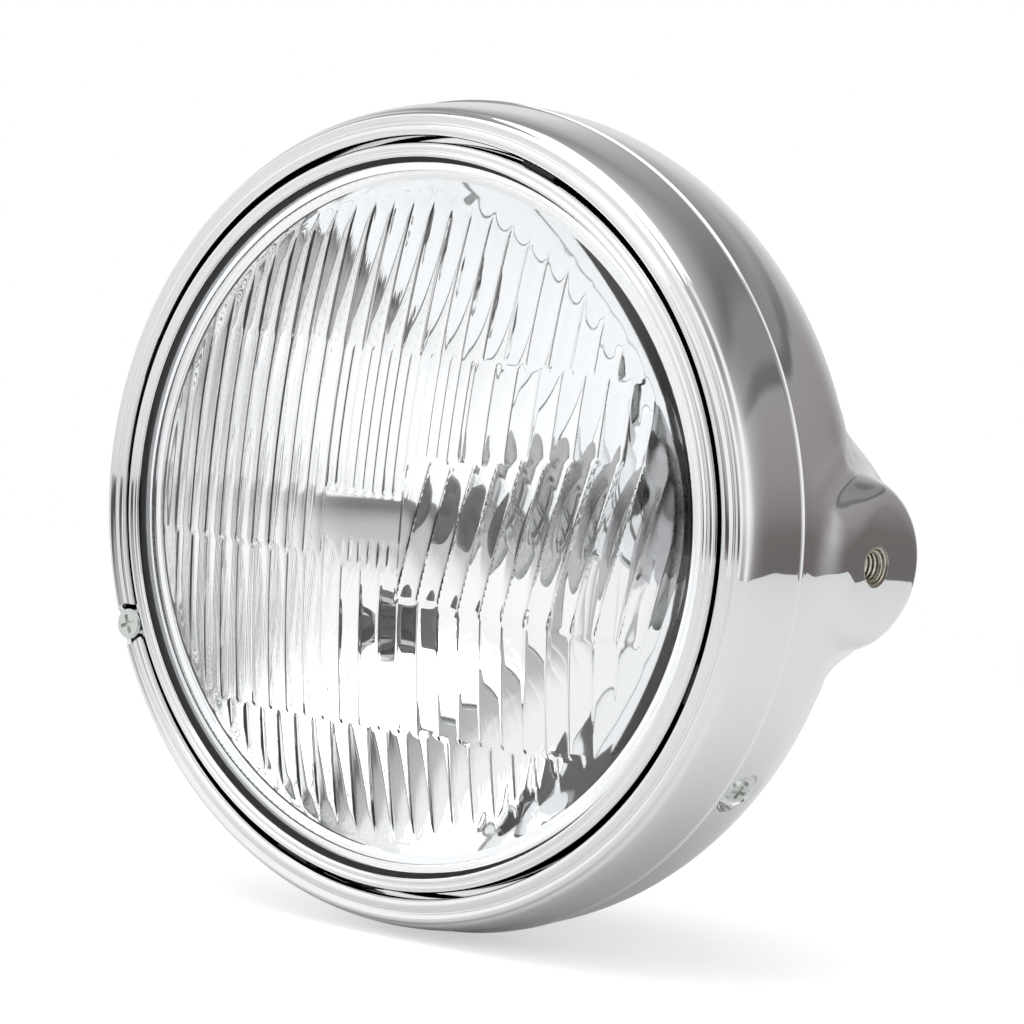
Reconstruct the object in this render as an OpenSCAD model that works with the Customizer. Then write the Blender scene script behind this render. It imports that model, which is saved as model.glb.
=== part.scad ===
// Round headlight for a motorcycle: a chromed bowl with side ears and an aiming optical unit.
// Origin where the ear-bolt axis crosses the optical axis, front towards -Y, up is +Z.
// Depths in the code are measured backwards from the groove between rim and ring.

/* [Bowl] */
// Depth of the bowl's rear tip behind the groove
bowl_depth = 109; // [106:1:116]
// Sheet thickness of the bowl
bowl_t = 1.2; // [0.8:0.1:1.6]

/* [Ears] */
// How far the ear faces stand out past the bowl
ear_out = 3.2; // [2:0.1:8]
// Depth of the ear-bolt axis behind the groove
ear_v = 47.5; // [44:0.5:52]
// Radius of the ear's rounded end
ear_r = 19.6; // [18.5:0.1:21]
// Bore of the threaded bushes, M8 on its thread's crest
bush_bore = 6.8; // [6.6:0.1:8.4]

/* [Rim] */
// Depth of the seam between rim and bowl
seam_v = 20.7; // [19.5:0.1:23]
// Width of the rim across its front, from groove to seam
rim_w = 9.5; // [9:0.1:11]
// Sheet thickness of the rim
rim_t = 1.1; // [0.8:0.1:1.3]
// Width of the groove between rim and ring
groove = 1.5; // [1.3:0.1:2]

/* [Optical unit] */
// Radius of the glass dome's edge
dome_r = 86.2; // [84:0.1:86.6]
// Radius of the sphere that the dome is cut from
dome_sphere = 280; // [240:1:340]
// Thickness of the glass
glass_t = 4; // [3.4:0.1:4.4]
// Width of one broad flute
flute = 6; // [5:0.5:8]
// Height of the flutes over the inner face
flute_h = 0.9; // [0.4:0.1:1.2]
// Focal length of the reflector
focal = 28; // [26:0.5:29]

/* [Aiming] */
// Depth of the pivot pins behind the groove
pivot_v = 14; // [13.8:0.1:14.4]
// Angle of the adjusting screw round the rim
adjuster_angle = 203; // [198:1:208]
// Angle of the right rim screw below the middle
rim_screw_angle = 34; // [30:1:38]

/* [Hidden] */
$fn = 96;

// Radii and depths shared by the ring, the glass and the rim
ring_r = dome_r + 5.2;
ring_t = 0.8;
ring_in = dome_r + 1.6;
lip_r = ring_r + groove;
rim_r = lip_r + rim_w;
bowl_r = rim_r - 0.6;
ear_x = bowl_r + ear_out;
flange_r = ring_r + 7.4;
tab_r = ring_r + 3.6;
flange_v = 9.8;
dome_v = -13.8;
glass_back = 3.5;
seat_back = 5;
unit_r = ring_r - ring_t;
vertex_v = seat_back + 61;
bulb_hole = 19.2;
bulb_v = 66.4;

// Places round the lamp
adjuster_r = lip_r + 3;
adjuster_head = 3.8;
clip_angles = [71.5, 161.5, 251.5, 341.5];
rim_screw_v = seam_v + 8.8;
rim_screw_r = bowl_r - 2.4;
skirt_r = bowl_r - 3.2;
skirt_v = seam_v - 3.7;
rim_tab_r = skirt_r - bowl_t - 1.2;
pilot_x = -35;
pilot_z = -31;
hole_angle = -90;
hole_v = bowl_depth - 39;
hole_r = 11;

// Turned shapes are drawn as [radius, depth] and spun about the optical axis
module front() { translate([0, -ear_v, 0]) children(); }
module turned(points) { rotate([-90, 0, 0]) rotate_extrude() polygon(points); }
module band(r1, r2, v1, v2) { turned([[r1, v1], [r2, v1], [r2, v2], [r1, v2]]); }
module disc(r, v1, v2) { turned([[0, v1], [r, v1], [r, v2], [0, v2]]); }

// Puts children at a radius and an angle round the lamp, with +X pointing outwards
module around(angle, r, v) { rotate([0, -angle, 0]) translate([r, v, 0]) children(); }

module at_adjuster() { around(adjuster_angle, adjuster_r, 0) children(); }

// The two screws behind the seam lean forwards, square to the floors of their dimples
module at_rim_screws() {
    for (s = [0, 1]) mirror([s, 0, 0]) around(-rim_screw_angle, rim_screw_r, rim_screw_v) children();
}
module lean() { rotate([0, 0, -20]) children(); }

// A rod along the optical axis, and one pointing outwards
module rod(r, v1, v2) { translate([0, v1, 0]) rotate([-90, 0, 0]) cylinder(r = r, h = v2 - v1); }
module spoke(r, x1, x2) { translate([x1, 0, 0]) rotate([0, 90, 0]) cylinder(r = r, h = x2 - x1); }

// Moves a profile inwards by t along its normals
function side(p, i) = let (a = p[max(i - 1, 0)], b = p[min(i + 1, len(p) - 1)], d = b - a)
    [d[1], -d[0]] / norm(d);
function inset(p, t) = [for (i = [0 : len(p) - 1]) p[i] - t * side(p, i)];
function flip(p) = [for (i = [len(p) - 1 : -1 : 0]) p[i]];

// Bowl outline: straight behind the seam, then an ellipse that runs on into a blunter tip
belly_v = 28;
belly_l = 65;
function belly(a) = [bowl_r * cos(a), belly_v + belly_l * sin(a)];
tip = bowl_depth;
bowl_curve = concat(
    [[bowl_r - 0.1, seam_v + 0.5]],
    [for (a = [0 : 8 : 32]) belly(a)],
    [[bowl_r - 38.4, tip - 24], [bowl_r - 52.6, tip - 13.5], [bowl_r - 68, tip - 6.4], [bowl_r - 84, tip - 2]]);
bowl_inner = inset(bowl_curve, bowl_t);
bowl_room = concat([[skirt_r - bowl_t, seam_v + 0.5 + bowl_t]],
    [for (i = [1 : len(bowl_inner) - 1]) bowl_inner[i]]);

// Ear outline: flat face, rounded edge, hollow flare down to the bowl
ear_curve = [[ear_r + 16.4, ear_x - 45], [ear_r + 14.4, ear_x - 39], [ear_r + 11.4, ear_x - 30.5],
    [ear_r + 8.4, ear_x - 23], [ear_r + 5.6, ear_x - 16], [ear_r + 2.9, ear_x - 11],
    [ear_r + 0.8, ear_x - 7.5], [ear_r, ear_x - 4.2], [19, ear_x - 2], [17.7, ear_x - 0.6], [15.8, ear_x]];
ear_inner = inset(ear_curve, bowl_t);

module ear_solid(p, top) {
    rotate([0, 90, 0]) rotate_extrude()
        polygon(concat([[0, p[0][1]]], p, [[0, top]]));
}
module both_ears(p, top) {
    for (s = [0, 1]) mirror([s, 0, 0]) translate([0, ear_v, 0]) ear_solid(p, top);
}

module bowl_solid(p, end) {
    turned(concat([[0, p[0][1]]], p, [[0, end]]));
}

module hole_frame() {
    rotate([0, -hole_angle, 0]) translate([hole_wall_r, hole_v, 0]) rotate([0, 0, hole_tilt]) children();
}
hole_a = belly(32);
hole_b = [bowl_r - 38.4, tip - 24];
hole_part = (hole_v - hole_a[1]) / (hole_b[1] - hole_a[1]);
hole_wall_r = hole_a[0] + hole_part * (hole_b[0] - hole_a[0]);
hole_tilt = atan((hole_a[0] - hole_b[0]) / (hole_b[1] - hole_a[1]));

module shell() {
    color([0.80, 0.80, 0.81]) front() {
        difference() {
            union() {
                difference() {
                    union() {
                        bowl_solid(bowl_curve, tip);
                        both_ears(ear_curve, ear_x);
                        band(skirt_r - bowl_t, skirt_r, skirt_v, seam_v + 2);
                    }
                    bowl_solid(bowl_room, tip - bowl_t);
                    disc(skirt_r - bowl_t, skirt_v - 8, seam_v + 3);
                    both_ears(ear_inner, ear_x - 2);
                }
                intersection() {
                    at_rim_screws() spoke(6.8, rim_tab_r + 0.1 - rim_screw_r, 4);
                    bowl_solid(bowl_curve, tip);
                }
            }
            at_rim_screws() lean() spoke(5.6, 0, 12);
            at_rim_screws() lean() spoke(2.2, -8, 2);
            for (a = [90, 270]) around(a, 0, pivot_v) spoke(3.6, skirt_r - 4, skirt_r + 1);
            for (s = [0, 1]) mirror([s, 0, 0]) translate([0, ear_v, 0])
                spoke(bush_bore / 2 + 1.65, ear_x - 15, ear_x + 5);
            at_adjuster() rod(2.8, skirt_v - 1, skirt_v + 2.5);
            at_adjuster() translate([-5, skirt_v - 1, -5.2]) cube([8.5, 2.8, 10.4]);
            hole_frame() spoke(hole_r, -8, 8);
        }
    }
}

// Rim outline from the groove lip over two beads and the shoulder to the seam
rim_shape = [[0, 0.3], [0.5, -0.5], [1.5, -0.8], [2.5, -0.4], [3.2, 0.5], [4, 0.1], [4.9, -0.1],
    [5.6, 0.5], [6.1, 1.6], [7, 3.2], [7.9, 7], [8.5, 12], [9.1, 20.1], [9.5, 20.7]];
rim_curve = [for (p = rim_shape) [lip_r + p[0] * rim_w / 9.5, p[1] < 5 ? p[1] : p[1] * seam_v / 20.7]];
rim_inner = inset(rim_curve, rim_t);

rim_full = concat([[lip_r, 3.7]], rim_curve, [[lip_r, seam_v]]);

module rim() {
    color([0.82, 0.82, 0.83]) front() {
        difference() {
            union() {
                turned(concat([[lip_r, 3.4]], rim_curve,
                    [[rim_r - rim_t, seam_v]], flip([for (i = [3 : len(rim_inner) - 2]) rim_inner[i]]),
                    [[lip_r + rim_t, 0.6], [lip_r + rim_t, 3.4]]));
                intersection() {
                    at_adjuster() rod(cup_r + 1.1, -1, 3.7);
                    turned(rim_full);
                }
                rim_tabs();
            }
            at_adjuster() rod(cup_r, -4, 2.6);
            at_adjuster() rod(2.3, -4, 6);
            at_rim_screws() lean() spoke(2.4, -12, 2);
        }
    }
}

// Open cup pressed through the beads for the adjusting screw's head
cup_r = adjuster_head + 1.4;

// Tabs that cross in front of the skirt and run back under it to the rim screws
module rim_tabs() {
    intersection() {
        for (s = [0, 1]) mirror([s, 0, 0]) around(-rim_screw_angle, 0, 0)
            translate([rim_tab_r - 10, skirt_v - 2, -5.5]) cube([25, rim_screw_v - skirt_v + 10, 11]);
        union() {
            band(rim_tab_r - 1.4, rim_tab_r, skirt_v - 2, rim_screw_v + 8);
            band(rim_tab_r - 1.4, rim_r - 1.4, skirt_v - 2, skirt_v - 0.2);
        }
    }
}

// Ring outline: rolled edge on the glass, two beads, outer wall, rear flange with tabs
ring_curve = [[ring_in, -1], [ring_in + 0.7, -1.3], [ring_in + 1.5, -0.6],
    [ring_in + 2.4, -1], [ring_in + 3.2, -0.5], [ring_r, 0.5]];

module front_ring() {
    color([0.84, 0.84, 0.85]) front() {
        difference() {
            union() {
                turned(concat(ring_curve, [[ring_r, flange_v], [flange_r, flange_v],
                    [flange_r, flange_v + 1.2], [unit_r, flange_v + 1.2], [unit_r, -0.2], [ring_in, -0.2]]));
                for (a = [90, 270]) around(a, 0, pivot_v) pivot_tab();
            }
            for (a = [90, 270]) around(a, 0, pivot_v) spoke(2.15, tab_r - 4, tab_r + 4);
            at_adjuster() rod(2.35, flange_v - 2, flange_v + 3);
            for (a = clip_angles) around(a, ring_r, flange_v) translate([0.1, -0.1, -5.2]) cube([1.1, 2, 10.4]);
            for (a = clip_angles) around(a, unit_r, flange_v) translate([-0.1, -0.9, -5.2]) cube([1.4, 3, 10.4]);
        }
    }
}
module pivot_tab() {
    translate([tab_r, flange_v - pivot_v + 0.2, -7]) cube([1.2, 5.2, 14]);
    spoke(5, tab_r, tab_r + 1.2);
}

// Glass: dome cut from a sphere, flat edge that the ring holds, flute zones on the inner face
sphere_v = dome_v + dome_sphere;
inner_sphere = dome_sphere - glass_t;
field_r = 79;
cell = flute / 2;

module glass_ball(r) { translate([0, sphere_v, 0]) sphere(r = r, $fn = 200); }

// Radius of the inner face about the sphere's level axis, at a distance x across
function level_r(x) = sqrt(inner_sphere * inner_sphere - x * x);

// Ridges that run up and down the dome, spun about the sphere's level axis
function arch(x, w, h) = [[x, -0.1], [x + w * 0.2, -h * 0.75], [x + w * 0.5, -h], [x + w * 0.8, -h * 0.75]];
module ridges(x1, count, w, h) {
    points = [for (i = [0 : count - 1]) each arch(x1 + i * w, w, h)];
    translate([0, sphere_v, 0]) rotate([0, 90, 0]) rotate_extrude($fn = 360)
        polygon(concat([for (p = points) [level_r(p[0]) + p[1], p[0]]],
            [for (i = [count : -4 : 0]) [level_r(x1 + i * w) + 0.8, x1 + i * w]],
            [[level_r(x1) + 0.8, x1]]));
}
module zone(points) {
    intersection() {
        rod(field_r, -16, 4);
        translate([0, 4, 0]) rotate([90, 0, 0]) linear_extrude(20) polygon(points);
        children();
    }
}

// Corners of the zones in the lens's own face, [across, up]
fine_top = 40.6;
fine_low = 5.7;
foot = -50.6;
mid_low = -11.4;
step_l = 14.5;
step_r = 21.4;

module lens() {
    color([0.86, 0.90, 0.92, 0.6]) front() {
        difference() {
            union() {
                intersection() { glass_ball(dome_sphere); disc(dome_r, -16, glass_back); }
                band(dome_r - 2, unit_r - 0.4, -0.2, glass_back);
            }
            intersection() { glass_ball(inner_sphere); disc(dome_r - 1, -16, glass_back + 1); }
        }
        zone([[-80, fine_top + 0.3], [80, fine_top + 0.3], [80, 80], [-80, 80]])
            ridges(-14 * flute, 28, flute, flute_h);
        zone([[-18, step_l], [22, step_l + 1.5], [22, fine_top], [-18, fine_top]])
            ridges(-18, 13, cell, flute_h * 0.6);
        zone([[-18, fine_low], [5.9, fine_low], [5.9, step_l - 0.3], [-18, step_l - 0.3]])
            ridges(-18, 8, cell, flute_h * 0.6);
        zone([[-80, mid_low], [-18.3, mid_low], [-18.3, fine_top], [-80, fine_top]])
            ridges(-18.3 - 11 * flute, 11, flute, flute_h);
        zone([[22.3, step_l + 1.6], [80, step_r], [80, fine_top], [22.3, fine_top]])
            ridges(22.3, 10, flute, flute_h);
        rotate([0, -12, 0]) zone([[8, -17], [72, -31], [80, 4], [10, 11]])
            ridges(6, 12, flute, flute_h);
        zone([[-80, foot + 0.3], [80, foot + 0.3], [80, -19], [8, -19], [4, mid_low - 0.3], [-80, mid_low - 0.3]])
            ridges(-14 * flute, 28, flute, flute_h);
        zone([[-80, -80], [80, -80], [80, foot], [-80, foot]])
            ridges(-13.5 * flute, 27, flute, flute_h);
    }
}

module lens_seal() {
    color([0.08, 0.08, 0.08]) front() band(dome_r + 0.3, unit_r - 0.4, glass_back, seat_back);
}

// Reflector: a true parabola, r * r = 4 * focal * depth from the vertex
mouth_r = sqrt(4 * focal * (vertex_v - seat_back - 1));
function dish(r) = [r, vertex_v - r * r / (4 * focal)];
function dish_back(r) = let (n = [r, 2 * focal] / norm([r, 2 * focal])) dish(r) + 1.2 * n;
collar_v = vertex_v - bulb_hole * bulb_hole / (4 * focal);

module reflector() {
    color([0.78, 0.79, 0.80]) front() {
        difference() {
            union() {
                turned(concat([[0, seat_back], [unit_r - 0.4, seat_back], [unit_r - 0.4, seat_back + 1.2],
                    [mouth_r + 1.7, seat_back + 1.2]],
                    [for (k = [0 : 7]) dish_back(mouth_r - k * (mouth_r - 19) / 7)],
                    [[0, vertex_v - 1]]));
                rod(25, 56, collar_v + 1.5);
                translate([pilot_x, 0, pilot_z]) rod(10, 36, 56);
            }
            turned(concat([[0, seat_back - 1], [mouth_r, seat_back - 1]],
                [for (k = [0 : 8]) dish(mouth_r - k * (mouth_r - 12) / 8)], [[0, vertex_v]]));
            rod(bulb_hole, 40, 90);
            translate([pilot_x, 0, pilot_z]) rod(8.5, 30, 60);
        }
    }
}

// Spring clip over the rear edge of the ring that presses the reflector's edge forward
module clip() {
    front() {
        translate([ring_r + 0.15, 0.9, -5]) cube([0.7, flange_v + 2 - 0.9, 10]);
        translate([unit_r - 4, flange_v + 1.3, -5]) cube([ring_r - unit_r + 4.85, 0.7, 10]);
        translate([unit_r - 4, seat_back + 1.2, -5]) cube([0.7, flange_v + 0.8 - seat_back, 10]);
    }
}
module unit_clips() {
    color([0.12, 0.12, 0.13]) for (a = clip_angles) rotate([0, -a, 0]) clip();
}

module pivot_pins() {
    color([0.70, 0.70, 0.68]) front() for (a = [90, 270]) intersection() {
        around(a, 0, pivot_v) {
            spoke(2, tab_r - 1, tab_r + 3);
            spoke(2.7, tab_r - 1.8, tab_r - 0.3);
            spoke(2.8, tab_r + 1.4, rim_r);
        }
        disc(rim_r - 1.25 - rim_t, 0, 30);
    }
}

module adjuster_screw() {
    color([0.78, 0.78, 0.72]) front() at_adjuster() difference() {
        union() {
            rod(2, 1, 18.5);
            rod(adjuster_head, 0.5, 2.5);
            rod(adjuster_head - 0.5, 0.1, 0.6);
        }
        for (k = [0, 90]) rotate([0, k, 0]) translate([-2.4, -1, -0.5]) cube([4.8, 2.3, 1]);
        difference() {
            rod(3, 3.75, 4.55);
            rod(1.65, 3, 5);
        }
    }
}

module adjuster_retainer() {
    color([0.35, 0.35, 0.36]) front() at_adjuster() difference() {
        rod(2.7, 3.8, 4.5);
        rod(1.65, 3, 5);
    }
}

module adjuster_nut() {
    color([0.74, 0.74, 0.70]) front() at_adjuster() difference() {
        translate([-3.9, flange_v + 1.2, -4.5]) cube([6.6, 3.4, 9]);
        rod(2.35, 0, 30);
    }
}

module rim_screws() {
    color([0.78, 0.78, 0.78]) front() at_rim_screws() lean() difference() {
        union() {
            spoke(2, -11, 0.5);
            spoke(3.3, 0.05, 1.3);
            translate([1.2, 0, 0]) rotate([0, 90, 0]) cylinder(r1 = 3.3, r2 = 2.5, h = 0.8);
        }
        for (k = [0, 90]) rotate([k, 0, 0]) translate([0.9, -1.9, -0.45]) cube([2, 3.8, 0.9]);
    }
}

module rim_nuts() {
    color([0.66, 0.66, 0.66]) front() at_rim_screws() difference() {
        translate([rim_tab_r - rim_screw_r - 4.7, -0.7, -3.5]) cube([3, 6, 7]);
        lean() spoke(2.05, -13, 2);
    }
}

// Hook riveted under the top of the rim that grips the front edge of the bowl's skirt
module rim_hook() {
    color([0.72, 0.72, 0.72]) front() intersection() {
        around(102, skirt_r - 8, 0) translate([0, 0, -3.5]) cube([20, 30, 7]);
        difference() {
            band(skirt_r - bowl_t - 1.4, rim_r - 0.95 - rim_t, skirt_v - 1.3, seam_v - 1.1);
            band(skirt_r - bowl_t, skirt_r, skirt_v, seam_v + 1);
        }
    }
}

module ear_bushes() {
    color([0.55, 0.50, 0.40]) front() for (s = [0, 1]) mirror([s, 0, 0]) translate([0, ear_v, 0]) {
        difference() {
            union() {
                spoke(bush_bore / 2 + 1.6, ear_x - 4, ear_x);
                spoke(7, ear_x - 16, ear_x - 2);
                spoke(11, ear_x - 5, ear_x - 2);
            }
            spoke(bush_bore / 2, ear_x - 20, ear_x + 1);
            translate([ear_x - 1.6, 0, 0]) rotate([0, 90, 0])
                cylinder(r1 = bush_bore / 2, r2 = bush_bore / 2 + 1.5, h = 1.62);
        }
    }
}

module bulb_seat() {
    color([0.74, 0.72, 0.66]) front() band(bulb_hole, 26.9, collar_v + 1.5, bulb_v);
}

module bulb_base() {
    color([0.76, 0.76, 0.74]) front() {
        difference() {
            union() { disc(21.5, bulb_v, bulb_v + 1); disc(11, 59, bulb_v + 8); }
            disc(9.2, 58, 62);
        }
    }
}

module bulb_glass() {
    color([0.80, 0.86, 0.88, 0.5]) front() turned([[0, 14], [3, 14.5], [5.6, 16], [7.4, 18.4], [8.3, 21.5],
        [8.5, 25], [8.5, 62], [7.4, 62], [7.4, 25], [7.1, 21.9], [6.3, 19.2], [4.8, 17.2], [2.6, 15.9], [0, 15.5]]);
}

module bulb_shade() {
    color([0.62, 0.62, 0.64]) front() {
        translate([-0.5, 26, -4.4]) cube([1, 36, 0.8]);
        difference() {
            rod(5.2, 26, 39);
            rod(4.7, 27, 40);
            translate([-6, 20, 0.4]) cube([12, 30, 10]);
        }
    }
}

module bulb_filaments() {
    color([0.55, 0.52, 0.48]) front() {
        for (row = [[30, 0.9], [44, -0.4]]) {
            translate([-3, row[0], row[1]]) rotate([-90, 0, 0]) cylinder(r = 0.7, h = 5.5, $fn = 16);
            for (x = [-3, 3]) translate([x, row[0] + (x < 0 ? 5.2 : 0), row[1]]) rotate([-90, 0, 0])
                cylinder(r = 0.3, h = 62 - row[0] - (x < 0 ? 5.2 : 0), $fn = 12);
            translate([-3, row[0] + 0.3, row[1]]) rotate([0, 90, 0]) cylinder(r = 0.3, h = 6, $fn = 12);
        }
    }
}

module bulb_terminals() {
    color([0.72, 0.72, 0.70]) front() {
        for (x = [-8, 8]) translate([x - 0.4, bulb_v + 8, -4]) cube([0.8, 8, 8]);
        translate([-4, bulb_v + 8, 7]) cube([8, 8, 0.8]);
    }
}

module bulb_clip() {
    color([0.60, 0.60, 0.62]) front() {
        band(14, 15.4, bulb_v + 1, bulb_v + 2.4);
        for (x = [-1, 1]) translate([x * 19.6 - 5, bulb_v + 1, -0.7]) cube([10, 1.4, 1.4]);
    }
}

module bulb_boot() {
    color([0.06, 0.06, 0.06]) front() {
        turned([[27, 63.4], [29.4, 63.4], [29.4, 70], [27, 76], [24, 86], [20, 93], [0, 95], [0, 92.8],
            [18.8, 91], [22, 84.6], [24.8, 75.4], [25.2, 68.6], [27, 67.4]]);
    }
}

module pilot_frame() { front() translate([pilot_x, 0, pilot_z]) children(); }
module pilot_grommet() {
    color([0.07, 0.07, 0.07]) pilot_frame() difference() {
        union() { rod(8.5, 45, 56); rod(11, 56, 58.5); }
        rod(6.6, 40, 60);
    }
}
module pilot_holder() {
    color([0.74, 0.70, 0.60]) pilot_frame() difference() {
        rod(6.6, 44, 64);
        rod(5.6, 43, 61);
    }
}
module pilot_glass() {
    color([0.85, 0.88, 0.88, 0.5]) pilot_frame() {
        turned([[0, 34], [2.6, 34.7], [4.2, 36.8], [4.5, 40], [4.5, 46], [5.6, 47], [5.6, 61], [0, 61]]);
    }
}
module pilot_contact() {
    color([0.75, 0.66, 0.40]) pilot_frame() translate([-2.4, 64, -0.4]) cube([4.8, 7, 0.8]);
}

module cable_grommet() {
    color([0.06, 0.06, 0.06]) front() hole_frame() difference() {
        union() {
            spoke(hole_r - 0.1, -3.5, 2);
            spoke(hole_r + 3, 0.3, 2.6);
            spoke(hole_r + 1.6, -4.6, -2.2);
        }
        spoke(6.5, -8, 8);
    }
}

shell();
rim();
front_ring();
lens();
lens_seal();
reflector();
unit_clips();
pivot_pins();
adjuster_screw();
adjuster_retainer();
adjuster_nut();
rim_screws();
rim_nuts();
rim_hook();
ear_bushes();
bulb_seat();
bulb_base();
bulb_glass();
bulb_shade();
bulb_filaments();
bulb_terminals();
bulb_clip();
bulb_boot();
pilot_grommet();
pilot_holder();
pilot_glass();
pilot_contact();
cable_grommet();
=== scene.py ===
import math
import bpy
from mathutils import Matrix, Vector


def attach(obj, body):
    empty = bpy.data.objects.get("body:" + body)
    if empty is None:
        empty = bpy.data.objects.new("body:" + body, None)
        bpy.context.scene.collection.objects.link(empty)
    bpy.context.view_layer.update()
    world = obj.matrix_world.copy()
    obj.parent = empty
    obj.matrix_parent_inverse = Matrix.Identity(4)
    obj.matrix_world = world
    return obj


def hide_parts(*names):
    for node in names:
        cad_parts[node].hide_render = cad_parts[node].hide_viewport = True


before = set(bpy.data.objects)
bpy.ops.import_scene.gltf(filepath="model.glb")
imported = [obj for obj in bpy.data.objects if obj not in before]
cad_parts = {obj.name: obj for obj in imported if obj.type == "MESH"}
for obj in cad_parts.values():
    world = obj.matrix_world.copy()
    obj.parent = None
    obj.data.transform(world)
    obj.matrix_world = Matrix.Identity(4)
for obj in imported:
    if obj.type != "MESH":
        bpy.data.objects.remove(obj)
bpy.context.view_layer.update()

# Lengths below are millimetres, turned to metres where a mesh is made.
# A depth v runs backwards from the groove round the ring, and a radius outwards from the optical axis.
MM = 0.001
WELD = 2e-6           # points closer than this are one point, in metres

# Sizes, most of them the solids' own
EAR_V = 47.5          # depth of the ear bolts' axis
DOME_R = 86.2
RING_R = DOME_R + 5.2
LIP_R = RING_R + 1.5
RIM_R = LIP_R + 9.5
RIM_T = 1.1
BOWL_R = RIM_R - 0.6
BOWL_T = 1.2
BOWL_DEPTH = 109.0
EAR_X = BOWL_R + 3.2
SEAM_V = 20.7
STEP_V = SEAM_V + 0.5
SKIRT_R = BOWL_R - 3.2
SKIRT_V = SEAM_V - 3.7
SPHERE_R = 280.0      # the glass dome's sphere
SPHERE_V = SPHERE_R - 13.8
GLASS_T = 4.0
GLASS_BACK = 3.5
UNIT_R = RING_R - 0.8
FLANGE_R = 97.0
FLANGE_V = (9.8, 11.0)
FOCAL = 28.0
VERTEX_V = 66.0
MIRROR_T = 1.2
BULB_HOLE_R = 19.2
PILOT_X, PILOT_Z = -35, -31
PILOT_HOLE_R = 8.5
ADJUSTER_ANGLE = math.radians(203)
ADJUSTER_R = LIP_R + 3
CUP_R = 5.2
SCREW_ANGLE = math.radians(-34)
SCREW_V = SEAM_V + 8.8
SCREW_R = BOWL_R - 2.4
SCREW_LEAN = math.radians(20)
SCREW_HOLE_R = 2.2
BUSH_HOLE_R = 5.06
FLUTE = 6.0           # width of a wide flute
FLUTE_H = 0.5
FIELD_R = 79.0        # the flutes end here


def place(radius, angle, v):
    """A point at a radius and an angle round the lamp, at a depth v behind the groove."""
    return Vector((radius * math.cos(angle), v - EAR_V, radius * math.sin(angle))) * MM


def eased(t):
    """A soft step from 0 to 1."""
    t = min(max(t, 0.0), 1.0)
    return t * t * (3 - 2 * t)


# Camera, in metres

CAMERA_AT = (0.8684, -1.1396, 0.1186)
CAMERA_FROM = (0.6065, -0.7908, 0.0822)
CAMERA_RIGHT = (0.7864, 0.6120, 0.0848)


def make_camera():
    away = Vector(CAMERA_FROM).normalized()
    right = Vector(CAMERA_RIGHT).normalized()
    up = away.cross(right).normalized()
    right = up.cross(away)
    data = bpy.data.cameras.new("camera")
    data.sensor_width = 36.0
    data.lens = 202.4
    data.clip_start = 0.05
    data.clip_end = 20.0
    camera = bpy.data.objects.new("camera", data)
    bpy.context.scene.collection.objects.link(camera)
    turn = Matrix((right, up, away)).transposed().to_4x4()
    camera.matrix_world = Matrix.Translation(CAMERA_AT) @ turn
    bpy.context.scene.camera = camera


make_camera()


# Node helpers

def new_material(name):
    mat = bpy.data.materials.new(name)
    mat.use_nodes = True
    return mat, mat.node_tree.nodes, mat.node_tree.links


def principled(nodes):
    return next(n for n in nodes if n.type == "BSDF_PRINCIPLED")


def opaque(value):
    """A grey or a colour as a socket takes it."""
    if isinstance(value, (int, float)):
        return (value, value, value, 1)
    return (*value, 1)


def ramp(nodes, stops):
    """A colour ramp from (place, grey or colour) stops."""
    node = nodes.new("ShaderNodeValToRGB")
    points = node.color_ramp.elements
    while len(points) > 1:
        points.remove(points[-1])
    points[0].position = stops[0][0]
    points[0].color = opaque(stops[0][1])
    for where, value in stops[1:]:
        points.new(where).color = opaque(value)
    return node


def bump_into(nodes, links, height, strength, distance):
    """Lets a height bend the surface's normal."""
    bump = nodes.new("ShaderNodeBump")
    bump.inputs["Strength"].default_value = strength
    bump.inputs["Distance"].default_value = distance
    links.new(height, bump.inputs["Height"])
    links.new(bump.outputs["Normal"], principled(nodes).inputs["Normal"])


# Shader group shared by the materials

def surface_wear_group():
    """Fine handling marks: a roughness that varies, and a faint height for the bump."""
    group = bpy.data.node_groups.new("surface_wear", "ShaderNodeTree")
    for label, value in (("Scale", 60.0), ("Low", 0.03), ("High", 0.09)):
        socket = group.interface.new_socket(name=label, in_out="INPUT", socket_type="NodeSocketFloat")
        socket.default_value = value
    for label in ("Roughness", "Height"):
        group.interface.new_socket(name=label, in_out="OUTPUT", socket_type="NodeSocketFloat")
    nodes, links = group.nodes, group.links
    start = nodes.new("NodeGroupInput")
    end = nodes.new("NodeGroupOutput")
    where = nodes.new("ShaderNodeTexCoord")
    marks = nodes.new("ShaderNodeTexNoise")
    marks.inputs["Detail"].default_value = 5.0
    marks.inputs["Roughness"].default_value = 0.6
    links.new(where.outputs["Object"], marks.inputs["Vector"])
    links.new(start.outputs["Scale"], marks.inputs["Scale"])
    span = nodes.new("ShaderNodeMapRange")
    span.inputs["From Min"].default_value = 0.35
    span.inputs["From Max"].default_value = 0.7
    links.new(marks.outputs["Fac"], span.inputs["Value"])
    links.new(start.outputs["Low"], span.inputs["To Min"])
    links.new(start.outputs["High"], span.inputs["To Max"])
    links.new(span.outputs["Result"], end.inputs["Roughness"])
    swell = nodes.new("ShaderNodeTexNoise")
    swell.inputs["Scale"].default_value = 14.0
    swell.inputs["Detail"].default_value = 1.0
    links.new(where.outputs["Object"], swell.inputs["Vector"])
    links.new(swell.outputs["Fac"], end.inputs["Height"])
    return group


WEAR = surface_wear_group()


# Materials

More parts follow.
